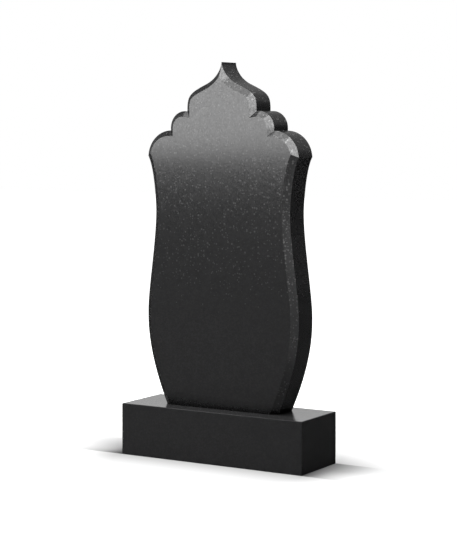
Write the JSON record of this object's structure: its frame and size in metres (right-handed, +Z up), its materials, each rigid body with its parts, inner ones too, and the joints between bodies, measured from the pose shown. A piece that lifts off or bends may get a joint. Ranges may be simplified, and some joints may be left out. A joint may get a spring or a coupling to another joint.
{
  "type": "headstone",
  "caption": "Upright headstone of polished dark stone: a bevelled slab with a vase-shaped body, stepped round shoulders and a pointed ogee crest on a low plinth.",
  "frame": {"origin": "middle of the plinth's underside, on the ground", "axes": "+X to the right as seen from the front, +Y from the bevelled front face towards the plain back, +Z up"},
  "size_m": [0.6, 0.2, 1.1344],
  "materials": {
    "slab_granite": "mirror-polished dark grey-black granite with fine light grains",
    "plinth_granite": "polished dark grey-black granite"
  },
  "bodies": {
    "root": {"stele": "slab_granite", "plinth": "plinth_granite"}
  },
  "joints": []
}
